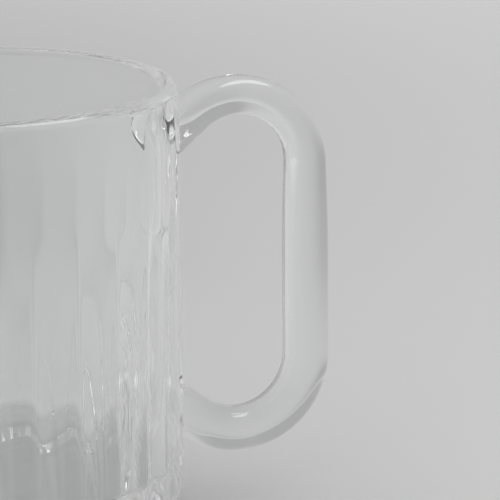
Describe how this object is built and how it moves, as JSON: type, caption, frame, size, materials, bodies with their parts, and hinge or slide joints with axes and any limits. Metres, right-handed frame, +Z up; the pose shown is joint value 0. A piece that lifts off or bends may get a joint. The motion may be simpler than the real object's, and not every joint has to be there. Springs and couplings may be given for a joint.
{
  "type": "handled glass mug",
  "caption": "Clear pressed-glass mug with a thick base, upright grooves round the wall and a rounded loop handle fused to its side.",
  "frame": {"origin": "centre of the foot ring, on the axis of the body, where the mug stands on a table", "axes": "+Z up along the body's axis, +X from the body's axis towards the handle"},
  "size_m": [0.109, 0.08, 0.079],
  "materials": {
    "body_glass": "clear, fire-polished pressed glass",
    "handle_glass": "clear, fire-polished glass"
  },
  "bodies": {
    "root": {"bowl": "body_glass", "handle": "handle_glass"}
  },
  "joints": []
}
